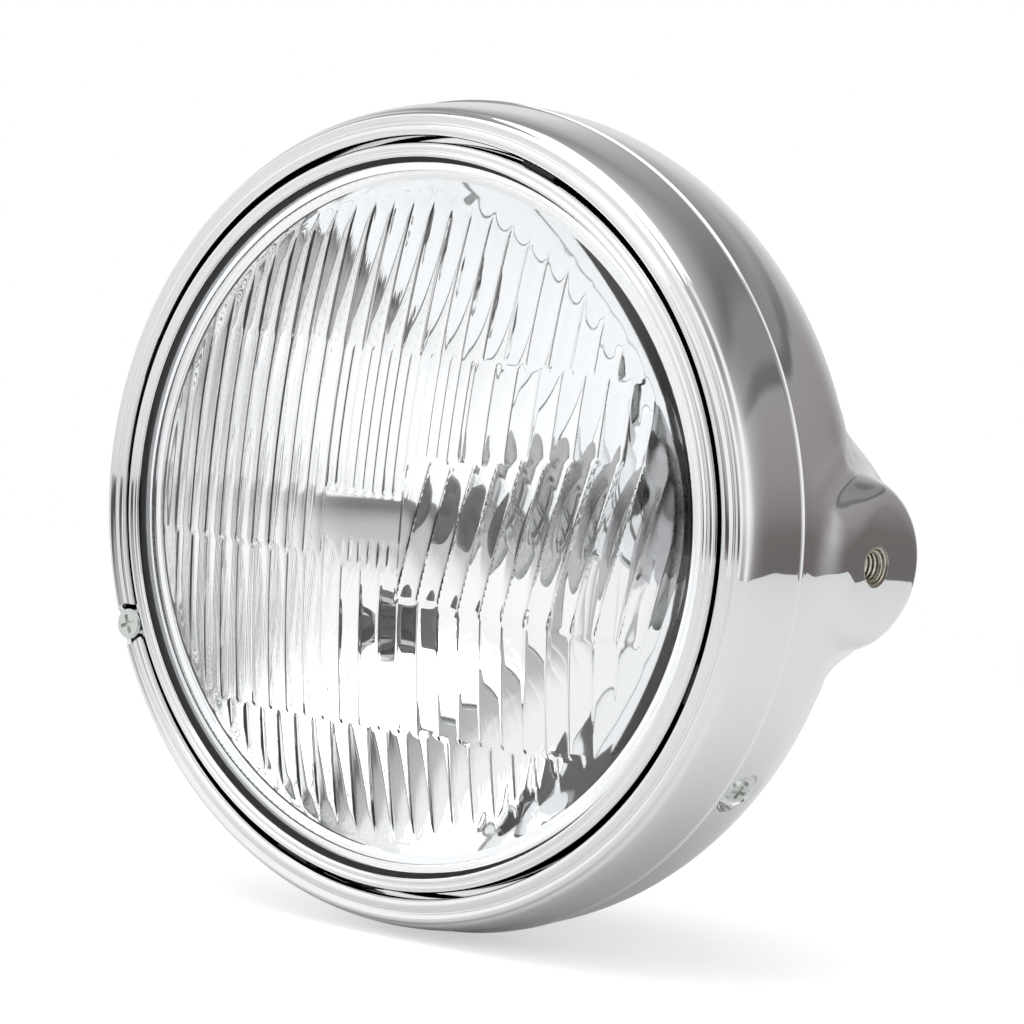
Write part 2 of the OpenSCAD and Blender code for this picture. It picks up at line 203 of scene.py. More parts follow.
def metal(name, colour, low, high, scale=60.0, swell=0.0, metallic=1.0):
    """A finish whose roughness varies from low to high, with a faint swell in its surface if asked."""
    mat, nodes, links = new_material(name)
    shader = principled(nodes)
    shader.inputs["Base Color"].default_value = opaque(colour)
    shader.inputs["Metallic"].default_value = metallic
    wear = nodes.new("ShaderNodeGroup")
    wear.node_tree = WEAR
    wear.inputs["Scale"].default_value = scale
    wear.inputs["Low"].default_value = low
    wear.inputs["High"].default_value = high
    links.new(wear.outputs["Roughness"], shader.inputs["Roughness"])
    if swell:
        bump_into(nodes, links, wear.outputs["Height"], swell, 0.001)
    return mat


def threaded_metal(name, colour):
    """Metal whose bore along the lamp's width carries the rings of an M8 thread."""
    mat = metal(name, colour, 0.12, 0.3, 320.0)
    nodes, links = mat.node_tree.nodes, mat.node_tree.links
    where = nodes.new("ShaderNodeTexCoord")
    rings = nodes.new("ShaderNodeTexWave")
    rings.bands_direction = "X"
    rings.inputs["Scale"].default_value = 251.0
    links.new(where.outputs["Object"], rings.inputs["Vector"])
    bump_into(nodes, links, rings.outputs["Fac"], 1.0, 0.0006)
    return mat


def rubber(name, colour):
    return metal(name, colour, 0.5, 0.75, 200.0, 0.3, 0.0)


def glass(name, colour, ior):
    mat, nodes, _ = new_material(name)
    shader = principled(nodes)
    shader.inputs["Base Color"].default_value = opaque(colour)
    shader.inputs["Metallic"].default_value = 0.0
    shader.inputs["Roughness"].default_value = 0.0
    shader.inputs["IOR"].default_value = ior
    shader.inputs["Transmission Weight"].default_value = 1.0
    return mat


CHROME = metal("polished_chrome", (0.90, 0.90, 0.905), 0.015, 0.05, 45.0, 0.05)
RING_CHROME = metal("ring_chrome", (0.92, 0.92, 0.925), 0.02, 0.06, 60.0, 0.02)
ALUMINISED = metal("aluminised_mirror", (0.97, 0.975, 0.98), 0.02, 0.05, 40.0)
ZINC = metal("bright_zinc", (0.74, 0.78, 0.74), 0.16, 0.38, 320.0, 0.2)
THREADED = threaded_metal("threaded_bush", (0.66, 0.62, 0.54))
STEEL = metal("plain_steel", (0.56, 0.56, 0.57), 0.22, 0.4, 260.0, 0.1)
BLACKENED = metal("blackened_spring", (0.035, 0.035, 0.038), 0.28, 0.45, 300.0, 0.1, 0.6)
BRASS = metal("plated_brass", (0.72, 0.60, 0.36), 0.2, 0.35, 260.0)
RUBBER = rubber("black_rubber", (0.022, 0.022, 0.024))
GREY_RUBBER = rubber("grey_rubber", (0.20, 0.20, 0.205))
TIP_COAT = metal("bulb_tip_coat", (0.10, 0.095, 0.09), 0.15, 0.3, 300.0, 0.0, 0.4)
# Painted highlight: the lens seal is coloured pale blue-white so the glass edge in front of it looks lit,
# where it would lie in shade.
SEAL_PAINTED_LIGHT = metal("seal_painted_edge_light", (0.80, 0.84, 0.88), 0.25, 0.4, 200.0, 0.0, 0.0)
LENS_GLASS = glass("pressed_glass", (0.995, 0.998, 1.0), 1.5)
BULB_GLASS = glass("bulb_glass", (0.97, 0.98, 0.98), 1.45)


# Outlines

def smooth_run(corners, per=6):
    """Points along a smooth curve that passes through the corners."""
    run = []
    last = len(corners) - 1
    for i in range(last):
        a = corners[max(i - 1, 0)]
        b, c = corners[i], corners[i + 1]
        d = corners[min(i + 2, last)]
        for k in range(per):
            t = k / per
            run.append(tuple(
                0.5 * (2 * q + (r - p) * t + (2 * p - 5 * q + 4 * r - s) * t * t
                       + (3 * q - p - 3 * r + s) * t ** 3)
                for p, q, r, s in zip(a, b, c, d)))
    run.append(tuple(corners[-1]))
    return run


def inset(run, t):
    """The run of (radius, depth) points moved inwards by t along its normals."""
    moved = []
    for i, p in enumerate(run):
        a, b = run[max(i - 1, 0)], run[min(i + 1, len(run) - 1)]
        dr, dv = b[0] - a[0], b[1] - a[1]
        size = math.hypot(dr, dv)
        moved.append((p[0] - t * dv / size, p[1] + t * dr / size))
    return moved


# Mesh helpers

def deselect():
    bpy.ops.object.select_all(action="DESELECT")


def work_on(piece):
    """Makes a piece the only one that operators act on."""
    deselect()
    piece.select_set(True)
    bpy.context.view_layer.objects.active = piece


def loop_of_edges(name, points):
    """A closed loop of edges through points given in metres."""
    deselect()
    bpy.ops.mesh.primitive_circle_add(vertices=len(points), radius=0.01)
    loop = bpy.context.object
    loop.name = name
    for vertex, point in zip(loop.data.vertices, points):
        vertex.co = point
    return loop


def spin_round(steps, axis):
    """Spins what is in edit mode right round an axis through the origin, and welds where it meets."""
    bpy.ops.mesh.select_all(action="SELECT")
    bpy.ops.mesh.spin(steps=steps, angle=2 * math.pi, center=(0, 0, 0), axis=axis)
    bpy.ops.mesh.select_all(action="SELECT")
    bpy.ops.mesh.remove_doubles(threshold=WELD)


def spin_closed(steps, axis):
    """Spins the active loop into a closed skin that faces outwards."""
    bpy.ops.object.mode_set(mode="EDIT")
    spin_round(steps, axis)
    bpy.ops.mesh.normals_make_consistent(inside=False)
    bpy.ops.object.mode_set(mode="OBJECT")


def on_optical_axis(outline):
    """An outline of (radius, depth) points as places beside the optical axis."""
    return [(radius * MM, (v - EAR_V) * MM, 0) for radius, v in outline]


def finish_piece(piece, material, body, sharp):
    """Shades a piece smooth up to a sharp angle, gives it its material and lets it ride on a body."""
    work_on(piece)
    bpy.ops.object.transform_apply(location=True, rotation=True, scale=True)
    bpy.ops.object.shade_smooth_by_angle(angle=math.radians(sharp))
    piece.data.materials.clear()
    piece.data.materials.append(material)
    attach(piece, body)


def turned(name, outline, material, body, steps, sharp):
    """Spins a closed outline of (radius, depth) points about the lamp's optical axis."""
    piece = loop_of_edges(name, on_optical_axis(outline))
    spin_closed(steps, (0, 1, 0))
    finish_piece(piece, material, body, sharp)
    return piece


def combine(piece, other, operation):
    step = piece.modifiers.new("combine", "BOOLEAN")
    step.operation = operation
    step.solver = "EXACT"
    step.object = other
    work_on(piece)
    bpy.ops.object.modifier_apply(modifier="combine")
    bpy.data.objects.remove(other)


def cut(piece, cutter):
    """Takes the cutter's shape out of a piece."""
    combine(piece, cutter, "DIFFERENCE")


def join(piece, other):
    """Melts another closed shape into a piece."""
    combine(piece, other, "UNION")


def peg(radius, length, centre, direction, vertices=48):
    """A plain cylinder, to cut or to start a round detail."""
    deselect()
    turn = Vector(direction).to_track_quat("Z", "Y").to_euler()
    bpy.ops.mesh.primitive_cylinder_add(
        vertices=vertices, radius=radius * MM, depth=length * MM, location=centre, rotation=turn)
    return bpy.context.object


def block(radius, v, size, angle):
    """A box with its middle at a radius and a depth, turned to an angle round the lamp."""
    deselect()
    bpy.ops.mesh.primitive_cube_add(size=1.0, location=place(radius, angle, v), rotation=(0, -angle, 0))
    piece = bpy.context.object
    piece.scale = Vector(size) * MM
    bpy.ops.object.transform_apply(location=True, rotation=True, scale=True)
    return piece


def spun_cutter(profile, centre, direction, steps=64):
    """A cutter spun from (radius, height) points, standing on a place and facing a direction."""
    piece = loop_of_edges("cutter", [(radius * MM, 0, height * MM) for radius, height in profile])
    spin_closed(steps, (0, 0, 1))
    piece.location = centre
    piece.rotation_euler = Vector(direction).to_track_quat("Z", "Y").to_euler()
    bpy.ops.object.transform_apply(location=True, rotation=True, scale=True)
    return piece


# Bowl

BELLY_V = 28          # the bowl is widest here
BELLY_L = 65          # how deep its ellipse reaches
BELLY_ANGLES = (0, 8, 16, 24, 32)


def belly(angle):
    return (BOWL_R * math.cos(angle), BELLY_V + BELLY_L * math.sin(angle))


BOWL_CORNERS = (
    [(BOWL_R - 0.1, STEP_V)] + [belly(math.radians(a)) for a in BELLY_ANGLES]
    + [(BOWL_R - 38.4, BOWL_DEPTH - 24), (BOWL_R - 52.6, BOWL_DEPTH - 13.5), (BOWL_R - 68, BOWL_DEPTH - 6.4),
       (BOWL_R - 84, BOWL_DEPTH - 2), (0.0, BOWL_DEPTH)])
BOWL_RUN = smooth_run(BOWL_CORNERS, 8)

# The dimple round a rim screw: (radius, height over its floor)
DIMPLE = [(0, 0), (4.3, 0), (5.0, 0.15), (5.45, 0.6), (5.7, 1.3), (6.0, 2.6), (6.6, 4.4), (7.6, 6.4),
          (0, 6.4)]
BOSS_R = 7.4
BOSS_T = 3.6
NOTCH = (5.5, 2.8, 10.4)   # room in the skirt for the adjuster's nut: outwards, in depth and across
NOTCH_V = 17.4


def bowl_radius(v):
    for (r0, v0), (r1, v1) in zip(BOWL_RUN, BOWL_RUN[1:]):
        if v0 <= v <= v1:
            return r0 + (r1 - r0) * (v - v0) / (v1 - v0)
    return BOWL_RUN[0][0] if v < BOWL_RUN[0][1] else 0.0


def bowl_side(y, z):
    """How far out the bowl's side is, at y behind the bolt axis and z above it."""
    r = bowl_radius(EAR_V + y)
    return math.sqrt(max(r * r - z * z, 0.0))


def make_bowl():
    inner = inset(BOWL_RUN, BOWL_T)
    inner[-1] = (0.0, inner[-1][1])
    skirt_in = SKIRT_R - BOWL_T
    outline = (BOWL_RUN + list(reversed([p for p in inner if p[1] > STEP_V + BOWL_T]))
               + [(skirt_in, STEP_V + BOWL_T), (skirt_in, SKIRT_V), (SKIRT_R, SKIRT_V),
                  (SKIRT_R, STEP_V - 0.35), (SKIRT_R + 0.35, STEP_V)])
    bowl = turned("shell_bowl", outline, CHROME, "root", 300, 32)
    for angle in (SCREW_ANGLE, math.pi - SCREW_ANGLE):
        sink_rim_screw(bowl, angle)
    cut(bowl, block(FLANGE_R, NOTCH_V, NOTCH, ADJUSTER_ANGLE))
    finish_piece(bowl, CHROME, "root", 32)
    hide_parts("shell")


def sink_rim_screw(bowl, angle):
    """A boss under the bowl's skin, with a leaning dimple and a hole for a rim screw."""
    out = Vector((math.cos(angle), 0, math.sin(angle)))
    leaning = out * math.cos(SCREW_LEAN) + Vector((0, -math.sin(SCREW_LEAN), 0))
    join(bowl, peg(BOSS_R, BOSS_T, place(SCREW_R - 0.1, angle, SCREW_V), out, 64))
    cut(bowl, spun_cutter(DIMPLE, place(SCREW_R, angle, SCREW_V), leaning))
    cut(bowl, peg(SCREW_HOLE_R, 12, place(SCREW_R, angle, SCREW_V), leaning))


# Ears

# From the flat end of an ear over its edge: (distance from the bolt axis, distance from the lamp's middle)
EAR_EDGE = smooth_run([(15.0, EAR_X), (17.4, EAR_X - 0.35), (19.7, EAR_X - 1.6), (21.2, EAR_X - 3.9),
                       (22.7, EAR_X - 6.8), (25.2, EAR_X - 10.0), (28.6, EAR_X - 13.6), (33, EAR_X - 19),
                       (36, EAR_X - 27), (38, EAR_X - 36), (40, EAR_X - 45)], 6)
END_R = 9.5           # the soft front bend leaves the flat end here
END_CURVE = 107.5     # radius of the end's faint curve
PULL = 0.42           # how firmly a bend keeps its first and last heading
HALVINGS = 24
HEAD_ROWS = 26
BEND_ROWS = 16
TAIL = (0.4, 0.9)     # the last rows run on under the bowl's skin
EAR_TURNS = 180


def measured(points):
    """The length along a run of points, at each of them."""
    total = [0.0]
    for a, b in zip(points, points[1:]):
        total.append(total[-1] + math.hypot(a[0] - b[0], a[1] - b[1]))
    return total


EAR_LENGTHS = measured(EAR_EDGE)


def along_edge(want):
    """The place and heading at a length along the ear's edge."""
    j = 0
    while j < len(EAR_LENGTHS) - 2 and EAR_LENGTHS[j + 1] < want:
        j += 1
    a, b = EAR_EDGE[j], EAR_EDGE[j + 1]
    span = EAR_LENGTHS[j + 1] - EAR_LENGTHS[j]
    t = (want - EAR_LENGTHS[j]) / span
    here = (a[0] + (b[0] - a[0]) * t, a[1] + (b[1] - a[1]) * t)
    return here, ((b[0] - a[0]) / span, (b[1] - a[1]) / span)


def edge_meets_bowl(dy, dz):
    """The length along the ear's edge at which it dives into the bowl."""
    low, high = 4.0, EAR_LENGTHS[-1]
    for _ in range(HALVINGS):
        middle = (low + high) / 2
        (rho, x), _ = along_edge(middle)
        if x > bowl_side(rho * dy, rho * dz):
            low = middle
        else:
            high = middle
    return low


def landing(leave, rho, dy, dz, count):
    """A bend that leaves a place along its heading and lies down on the bowl, with a short tail under it."""
    a, heading = leave
    b = (rho, bowl_side(rho * dy, rho * dz))
    further = (rho + 0.5, bowl_side((rho + 0.5) * dy, (rho + 0.5) * dz))
    size = math.hypot(0.5, further[1] - b[1])
    flat = (0.5 / size, (further[1] - b[1]) / size)
    pull = PULL * math.hypot(a[0] - b[0], a[1] - b[1])
    c = (a[0] + heading[0] * pull, a[1] + heading[1] * pull)
    d = (b[0] - flat[0] * pull, b[1] - flat[1] * pull)
    bend = []
    for k in range(1, count + 1):
        t = k / count
        bend.append(tuple((1 - t) ** 3 * p + 3 * t * (1 - t) ** 2 * q + 3 * t * t * (1 - t) * r + t ** 3 * s
                          for p, q, r, s in zip(a, c, d, b)))
    return bend + [(rho + e, bowl_side((rho + e) * dy, (rho + e) * dz) - 0.12 * e) for e in TAIL]


def rounded_section(dy, dz):
    """The ear's rounded edge and the fillet behind it, down to the bowl."""
    meets = edge_meets_bowl(dy, dz)
    rear = max(dy, 0.0)
    front = max(-dy, 0.0)
    start = max(meets - 5.5 - 6 * rear, 2.5)
    last = HEAD_ROWS - 1
    head = [along_edge(start * k / last)[0] for k in range(HEAD_ROWS)]
    return head + landing(along_edge(start), along_edge(meets)[0][0] + 9.0 - 4.5 * front, dy, dz, BEND_ROWS)


def soft_section(dy, dz):
    """One soft bend from the flat end to the bowl, as in front of the bolt."""
    out = min(33.0, 25.4 / max(-dy, 0.1))
    end = (END_R, EAR_X)
    return [end] + landing((end, (1.0, 0.0)), out, dy, dz, HEAD_ROWS + BEND_ROWS - 1)


def ear_section(angle):
    """Points (distance from the bolt axis, distance from the lamp's middle) from the end onto the bowl."""
    dy, dz = math.sin(angle), math.cos(angle)
    rounded = rounded_section(dy, dz)
    part = eased((0.35 - dy) / 1.1)
    if not part:
        return rounded
    soft = soft_section(dy, dz)
    run = [(p[0] + (q[0] - p[0]) * part, p[1] + (q[1] - p[1]) * part) for p, q in zip(rounded, soft)]
    last = len(run) - 1 - len(TAIL)
    drift = run[last][1] - bowl_side(run[last][0] * dy, run[last][0] * dz)
    return [(r, x - drift * min(k / last, 1.0) ** 3) for k, (r, x) in enumerate(run)]


def make_ear(side):
    """One ear as a grid bent round the bolt axis: faintly curved end, rounded edge and flare to the bowl."""
    flat = [(BUSH_HOLE_R, EAR_X - 1.8), (BUSH_HOLE_R, EAR_X - 0.1), (BUSH_HOLE_R + 0.06, EAR_X),
            (BUSH_HOLE_R + 0.14, EAR_X), (9.0, EAR_X)]
    rows = len(flat) + HEAD_ROWS + BEND_ROWS + len(TAIL)
    deselect()
    bpy.ops.mesh.primitive_grid_add(x_subdivisions=rows - 1, y_subdivisions=EAR_TURNS, size=0.01)
    ear = bpy.context.object
    ear.name = "shell_ear_right" if side > 0 else "shell_ear_left"
    for j in range(EAR_TURNS + 1):
        angle = 2 * math.pi * j / EAR_TURNS
        for i, (rho, x) in enumerate(flat + ear_section(angle)):
            x -= (rho * math.cos(angle)) ** 2 / (2 * END_CURVE) * (1 - eased((i - 24) / 16))
            ear.data.vertices[j * rows + i].co = (
                side * x * MM, rho * math.sin(angle) * MM, rho * math.cos(angle) * MM)
    bpy.ops.object.mode_set(mode="EDIT")
    bpy.ops.mesh.select_all(action="SELECT")
    bpy.ops.mesh.remove_doubles(threshold=WELD)
    bpy.ops.object.mode_set(mode="OBJECT")
    if ear.data.polygons[6].normal.x * side < 0:
        ear.data.flip_normals()
    finish_piece(ear, CHROME, "root", 50)
    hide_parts("shell")


# Rim

# Beads and side, as (radius over the lip, depth)
RIM_SHAPE = [(0.5, -0.5), (1.5, -0.8), (2.5, -0.4), (3.2, 0.5), (4, 0.1), (4.9, -0.1), (5.6, 0.5),
             (6.1, 1.6), (7, 3.2), (7.9, 7), (8.5, 12), (9.1, 20.1)]
LIP_V = 3.4           # the lip reaches this far back into the gap


def make_rim():
    outer = smooth_run([(LIP_R, 0.3)] + [(LIP_R + r, v) for r, v in RIM_SHAPE], 6)
    inner = [p for p in inset(outer, RIM_T) if p[0] > LIP_R + 5.2]
    tail = [(RIM_R - 0.1, SEAM_V - 0.3), (RIM_R, SEAM_V - 0.2), (RIM_R, SEAM_V + 0.05),
            (RIM_R - 1.4, SEAM_V + 0.05)]
    outline = ([(LIP_R, LIP_V)] + outer + tail + list(reversed(inner))
               + [(LIP_R + RIM_T, 1.9), (LIP_R + RIM_T, LIP_V)])
    rim = turned("rim_shell", outline, CHROME, "root", 300, 50)
    cut(rim, peg(CUP_R, 10, place(ADJUSTER_R, ADJUSTER_ANGLE, -2.4), (0, 1, 0)))
    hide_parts("rim")


# Ring that carries the glass

def make_ring():
    inside = DOME_R + 1.6
    beads = smooth_run([(inside, -0.9), (inside + 0.35, -1.25), (inside + 0.9, -1.25),
                        (inside + 1.5, -0.6), (inside + 2.1, -0.95), (inside + 2.7, -0.9),
                        (inside + 3.2, -0.4), (RING_R, 0.5)], 5)
    front, back = FLANGE_V
    flange = [(RING_R, front), (FLANGE_R, front), (FLANGE_R, back), (UNIT_R, back)]
    outline = beads + flange + [(UNIT_R, -0.2), (inside, -0.2)]
    ring = turned("ring_bezel", outline, RING_CHROME, "optical_unit", 300, 40)
    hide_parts("front_ring")


# Reflector

DISH_STEPS = 48
MIRROR_LIP_V = (5.0, 6.2)


def dish_point(r, t=0.0):
    """The place on the paraboloid at a radius, moved t behind its mirror face."""
    slant = math.hypot(r, 2 * FOCAL)
    return r + t * r / slant, VERTEX_V - r * r / (4 * FOCAL) + t * 2 * FOCAL / slant


def make_reflector():
    mouth = math.sqrt(4 * FOCAL * (VERTEX_V - 6.0))
    radii = [mouth - k * (mouth - BULB_HOLE_R) / DISH_STEPS for k in range(DISH_STEPS + 1)]
    face = [dish_point(r) for r in radii]
    back = [dish_point(r, MIRROR_T) for r in reversed(radii)]
    lip_front, lip_back = MIRROR_LIP_V
    lip = [(UNIT_R - 0.4, lip_back), (UNIT_R - 0.4, lip_front), (mouth, lip_front)]
    mirror = turned("reflector_dish", face + back + lip, ALUMINISED, "optical_unit", 240, 30)
    cut(mirror, peg(PILOT_HOLE_R, 60, Vector((PILOT_X, 50 - EAR_V, PILOT_Z)) * MM, (0, 1, 0)))
    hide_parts("reflector")


# Glass

INNER_R = SPHERE_R - GLASS_T
HUB_R = 84.0          # the fluted inner face ends here
DOME_STEPS = 40
GRID_ACROSS, GRID_UP = 440, 190

# Borders of the flute zones, across and up from the middle
TOP_Z = 40.6
LEFT_X, MIDDLE_X, RIGHT_X = -18, 6, 22
LOW_Z = -50.6


def flutes(across, width, height):
    """Height over a row of flutes: a low arch on each, with a fine pressed line at every joint."""
    u = across / width
    u -= math.floor(u)
    joint = min(u, 1 - u) * width
    return height * (1 - (2 * u - 1) ** 2) - 0.16 * max(0.0, 1 - joint / 0.45)


def across_leaning(x, z, degrees):
    """Distance across flutes that lean by an angle."""
    a = math.radians(degrees)
    return x * math.cos(a) + z * math.sin(a)


def flute_height(x, z):
    """Height of the pressed flutes at a place on the glass, dying out towards the edge of the field."""
    fade = min(max((FIELD_R - math.hypot(x, z)) / 5, 0.0), 1.0)
    return fade * pattern_height(x, z) if fade else 0.0


def pattern_height(x, z):
    """Height of the flutes inside the field, zone by zone."""
    fine = FLUTE / 2
    comb_foot = 14.5 + (x - MIDDLE_X) * 0.1
    in_comb = z > comb_foot and x < RIGHT_X or 5.7 < z <= comb_foot and x < MIDDLE_X
    if z > TOP_Z:
        return flutes(x, FLUTE, FLUTE_H * 1.15)
    if x > LEFT_X and in_comb:
        return flutes(x - LEFT_X, fine, FLUTE_H * 0.4)
    if x <= LEFT_X and z > -11.2:
        return flutes(x - LEFT_X, FLUTE, FLUTE_H * 0.7)
    if x >= RIGHT_X and z > comb_foot:
        return flutes(x - RIGHT_X, FLUTE, FLUTE_H)
    if x > MIDDLE_X and -19.5 - (x - 20) * 0.05 < z <= comb_foot:
        return flutes(across_leaning(x, z, -12) - 4, FLUTE, FLUTE_H)
    if -11.6 < x < 5 and -11.5 < z < -6:
        return flutes(x - LEFT_X, fine, FLUTE_H * 0.4)
    if LEFT_X < x <= MIDDLE_X and z > -6:
        return 0.0
    if z > LOW_Z:
        return flutes(x - 1, FLUTE, FLUTE_H * (0.2 if -11 < x < 31 else 0.5))
    return flutes(x + 2, FLUTE, FLUTE_H * 1.1)


def make_lens():
    """The glass: a spun front and edge, with the fluted face joined in behind."""
    radii = [DOME_R * k / DOME_STEPS for k in range(DOME_STEPS + 1)]
    dome = [(r, SPHERE_V - math.sqrt(SPHERE_R ** 2 - r ** 2)) for r in radii]
    edge = [(DOME_R + 0.15, -0.2), (UNIT_R - 0.4, -0.2), (UNIT_R - 0.4, GLASS_BACK), (HUB_R, GLASS_BACK)]
    lens = loop_of_edges("lens_pressing", on_optical_axis(dome + edge))
    last = len(dome + edge) - 1
    for vertex in lens.data.vertices:
        vertex.select = vertex.index in (0, last)
    for line in lens.data.edges:
        line.select = set(line.vertices) == {0, last}
    bpy.ops.object.mode_set(mode="EDIT")
    bpy.ops.mesh.select_mode(type="EDGE")
    bpy.ops.mesh.delete(type="EDGE")
    spin_round(256, (0, 1, 0))
    bpy.ops.object.mode_set(mode="OBJECT")
    back = make_lens_back()
    work_on(lens)
    back.select_set(True)
    bpy.ops.object.join()
    bpy.ops.object.mode_set(mode="EDIT")
    bpy.ops.mesh.select_all(action="DESELECT")
    bpy.ops.mesh.select_mode(type="EDGE")
    bpy.ops.mesh.select_non_manifold()
    bpy.ops.mesh.bridge_edge_loops()
    bpy.ops.mesh.select_all(action="SELECT")
    bpy.ops.mesh.normals_make_consistent(inside=False)
    bpy.ops.mesh.select_mode(type="VERT")
    bpy.ops.object.mode_set(mode="OBJECT")
    finish_piece(lens, LENS_GLASS, "optical_unit", 28)
    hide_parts("lens")


def make_lens_back():
    """The fluted inner face, as a fine grid over the glass cut to a circle."""
    deselect()
    bpy.ops.mesh.primitive_grid_add(x_subdivisions=GRID_ACROSS, y_subdivisions=GRID_UP, size=0.01)
    face = bpy.context.object
    face.name = "lens_flutes"
    edge = HUB_R - 0.4
    keep = []
    for n, vertex in enumerate(face.data.vertices):
        x = -HUB_R + 2 * HUB_R * (n % (GRID_ACROSS + 1)) / GRID_ACROSS
        z = -HUB_R + 2 * HUB_R * (n // (GRID_ACROSS + 1)) / GRID_UP
        r = math.hypot(x, z)
        keep.append(r <= edge)
        if r > edge:
            x, z = x * edge / r, z * edge / r
        level = SPHERE_V - math.sqrt(INNER_R ** 2 - x * x - z * z)
        vertex.co = Vector((x, level + flute_height(x, z) - EAR_V, z)) * MM
    bpy.context.tool_settings.mesh_select_mode = (False, False, True)
    for polygon in face.data.polygons:
        polygon.select = not any(keep[k] for k in polygon.vertices)
    bpy.ops.object.mode_set(mode="EDIT")
    bpy.ops.mesh.delete(type="FACE")
    bpy.ops.mesh.select_all(action="SELECT")
    bpy.ops.mesh.remove_doubles(threshold=WELD)
    bpy.ops.mesh.select_mode(type="VERT")
    bpy.ops.object.mode_set(mode="OBJECT")
    return face


# Dark coat on the end of the bulb's glass

TIP_SHAPE = [(0.0, 13.9), (3.03, 14.4), (5.68, 15.95), (7.5, 18.38), (8.4, 21.5), (8.56, 25.0)]
TIP_T = 0.06


def make_bulb_tip():
    outside = smooth_run(TIP_SHAPE, 5)
    inside = [(max(r - TIP_T, 0.0), v + TIP_T) for r, v in outside]
    turned("bulb_tip_coat", outside + list(reversed(inside)), TIP_COAT, "optical_unit", 64, 50)


make_bowl()
make_ear(1)
make_ear(-1)
make_rim()
make_ring()
make_reflector()
make_lens()
make_bulb_tip()


# Finishes of the solids that are shown as they are

FINISHES = {
    "unit_clips": BLACKENED,
    "pivot_pins": ZINC,
    "adjuster_screw": ZINC,
    "adjuster_retainer": BLACKENED,
    "adjuster_nut": ZINC,
    "rim_screws": ZINC,
    "rim_nuts": STEEL,
    "rim_hook": ZINC,
    "ear_bushes": THREADED,
    # the seal's pale colour is a painted highlight for light caught by the glass edge
    "lens_seal": SEAL_PAINTED_LIGHT,
    "bulb_seat": ZINC,
    "bulb_base": STEEL,
    "bulb_glass": BULB_GLASS,
    "bulb_shade": STEEL,
    "bulb_filaments": STEEL,
    "bulb_terminals": STEEL,
    "bulb_clip": STEEL,
    "bulb_boot": RUBBER,
    "pilot_glass": BULB_GLASS,
    "pilot_grommet": GREY_RUBBER,
    "pilot_holder": STEEL,
    "pilot_contact": BRASS,
    "cable_grommet": RUBBER,
}


def dress(name, material):
    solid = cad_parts[name]
    solid.data.materials.clear()
    solid.data.materials.append(material)


for name, material in FINISHES.items():
    dress(name, material)


# Studio, in metres

FLOOR_Z = -0.1032
FLOOR_AT = (-0.35, -0.35, FLOOR_Z)
FLOOR_SIZE = (2.3, 2.0, 1)
# How much the floor adds for the rays that look at it
FLOOR_LIFT = {"Is Camera Ray": 0.5, "Is Glossy Ray": 0.04, "Is Transmission Ray": 0.28}


def make_floor():
    deselect()
    bpy.ops.mesh.primitive_plane_add(size=1.0, location=FLOOR_AT)
    floor = bpy.context.object
    floor.name = "floor"
    floor.scale = FLOOR_SIZE
    bpy.ops.object.transform_apply(location=True, rotation=True, scale=True)
    mat, nodes, links = new_material("pale_floor")
    shader = principled(nodes)
    shader.inputs["Base Color"].default_value = (0.78, 0.79, 0.80, 1)
    shader.inputs["Roughness"].default_value = 0.9
    shader.inputs["Emission Color"].default_value = (1, 1, 1, 1)
    path = nodes.new("ShaderNodeLightPath")
    target = shader.inputs["Emission Strength"]
    for ray, strength in FLOOR_LIFT.items():
        add = nodes.new("ShaderNodeMath")
        add.operation = "MULTIPLY_ADD"
        add.inputs[1].default_value = strength
        add.inputs[2].default_value = 0.0
        links.new(path.outputs[ray], add.inputs[0])
        links.new(add.outputs[0], target)
        target = add.inputs[2]
    floor.data.materials.append(mat)


# The room that the lamp mirrors: greys and colours from straight down (0) over level (0.5) to straight up (1)
BACK_WALL = [(0.0, 0.40), (0.42, 0.16), (0.455, (0.16, 0.145, 0.142)), (0.505, (0.17, 0.155, 0.15)),
             (0.55, (0.25, 0.23, 0.228)), (0.60, (0.30, 0.285, 0.28)), (0.69, (0.33, 0.315, 0.31)),
             (0.712, 0.32), (0.725, 0.15), (0.741, 0.15), (0.756, 0.24), (0.80, 0.22), (0.825, 0.07),
             (0.86, 0.15), (0.92, 0.32), (1.0, 0.6)]
SIDE_WALL = [(0.0, 0.6), (0.42, 0.45), (0.5, 0.62), (0.56, 0.80), (0.68, 0.74), (0.76, 0.5), (0.84, 0.30),
             (0.92, 0.45), (1.0, 0.8)]
FRONT_WALL = [(0.0, 0.95), (0.42, 0.90), (0.5, 0.88), (0.56, 0.98), (0.66, 1.0), (0.85, 1.0), (1.0, 0.95)]
CORNER = [(0.0, 0.95), (0.42, 0.85), (0.455, 0.6), (0.477, (0.12, 0.105, 0.10)), (0.505, 0.08),
          (0.53, 0.26), (0.56, 0.42), (0.66, 0.52), (0.72, 0.85), (0.80, 0.98), (1.0, 0.95)]


def compass(degrees):
    """A level direction, turned clockwise from straight back as seen from above."""
    return (math.sin(math.radians(degrees)), math.cos(math.radians(degrees)), 0.0)


def toward(nodes, links, where, direction, low, high):
    """A soft mask of the part of the room that lies in a direction."""
    dot = nodes.new("ShaderNodeVectorMath")
    dot.operation = "DOT_PRODUCT"
    dot.inputs[1].default_value = direction
    links.new(where.outputs["Generated"], dot.inputs[0])
    span = nodes.new("ShaderNodeMapRange")
    span.interpolation_type = "SMOOTHSTEP"
    span.inputs["From Min"].default_value = low
    span.inputs["From Max"].default_value = high
    links.new(dot.outputs["Value"], span.inputs["Value"])
    return span.outputs["Result"]


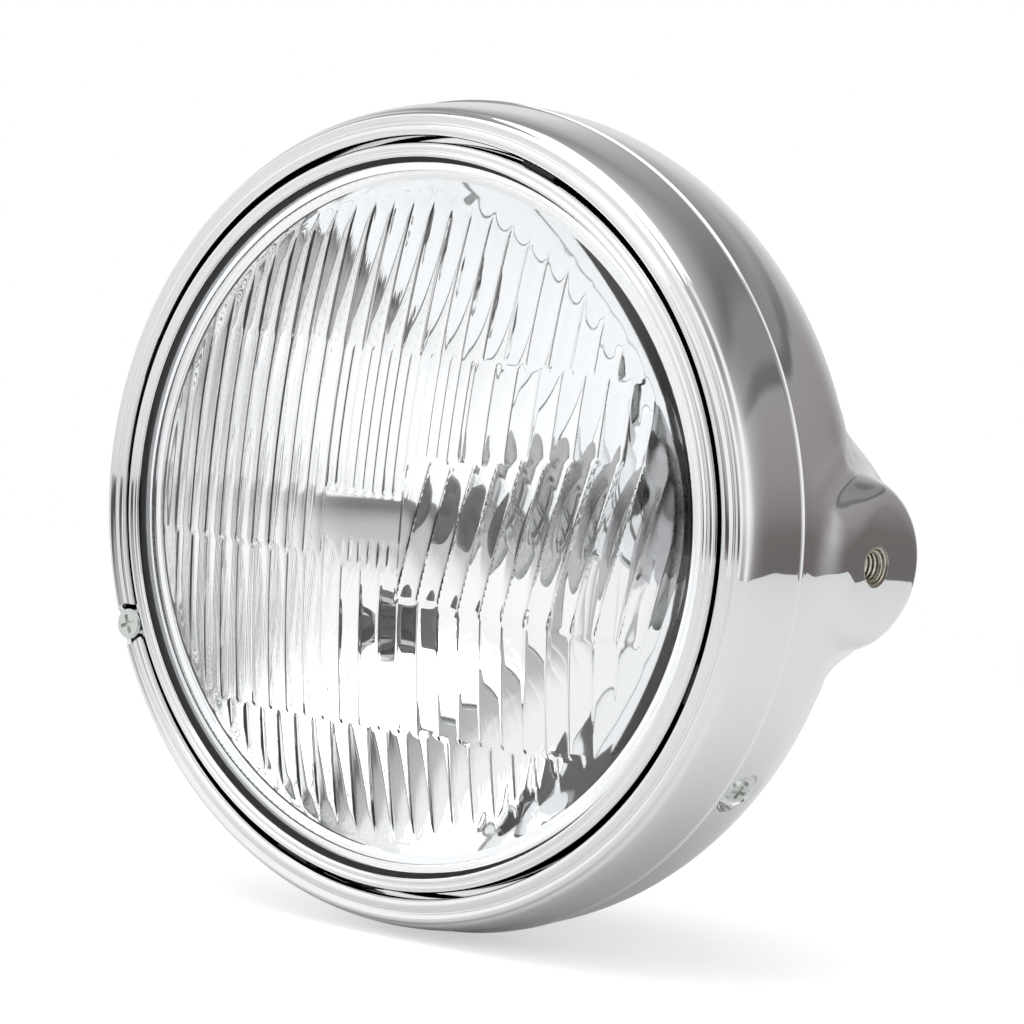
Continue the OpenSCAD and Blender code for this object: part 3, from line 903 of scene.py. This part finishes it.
def mix(nodes, links, factor, a, b=None):
    """Goes from colour a to colour b, which is white if it isn't given."""
    node = nodes.new("ShaderNodeMix")
    node.data_type = "RGBA"
    node.inputs["B"].default_value = (1, 1, 1, 1)
    links.new(factor, node.inputs["Factor"])
    links.new(a, node.inputs["A"])
    if b is not None:
        links.new(b, node.inputs["B"])
    return node.outputs["Result"]


def make_world():
    """White for the camera; for reflections a pale room with a darker back wall and one dark corner."""
    world = bpy.data.worlds.new("studio")
    bpy.context.scene.world = world
    world.use_nodes = True
    nodes, links = world.node_tree.nodes, world.node_tree.links
    background = next(n for n in nodes if n.type == "BACKGROUND")
    where = nodes.new("ShaderNodeTexCoord")
    split = nodes.new("ShaderNodeSeparateXYZ")
    links.new(where.outputs["Generated"], split.inputs[0])
    height = nodes.new("ShaderNodeMapRange")
    height.inputs["From Min"].default_value = -1.0
    height.inputs["From Max"].default_value = 1.0
    links.new(split.outputs["Z"], height.inputs["Value"])

    def wall(stops):
        node = ramp(nodes, stops)
        links.new(height.outputs["Result"], node.inputs["Fac"])
        return node.outputs["Color"]

    behind = toward(nodes, links, where, compass(28), 0.52, 0.92)
    ahead = toward(nodes, links, where, (0.0, -1.0, 0.0), -0.08, 0.25)
    corner = toward(nodes, links, where, compass(160), 0.76, 0.90)
    room = mix(nodes, links, behind, wall(SIDE_WALL), wall(BACK_WALL))
    room = mix(nodes, links, ahead, room, wall(FRONT_WALL))
    room = mix(nodes, links, corner, room, wall(CORNER))
    path = nodes.new("ShaderNodeLightPath")
    links.new(mix(nodes, links, path.outputs["Is Camera Ray"], room), background.inputs["Color"])
    background.inputs["Strength"].default_value = 1.0


def make_top_light():
    """A soft panel over the lamp, aimed at its middle."""
    data = bpy.data.lights.new("top_light", "AREA")
    data.shape = "RECTANGLE"
    data.size = 1.5
    data.size_y = 1.5
    data.energy = 8.0
    panel = bpy.data.objects.new("top_light", data)
    panel.location = (-0.1, -0.25, 1.3)
    panel.rotation_euler = panel.location.to_track_quat("Z", "Y").to_euler()
    bpy.context.scene.collection.objects.link(panel)


make_floor()
make_world()
make_top_light()

bpy.context.scene.view_settings.view_transform = "Standard"
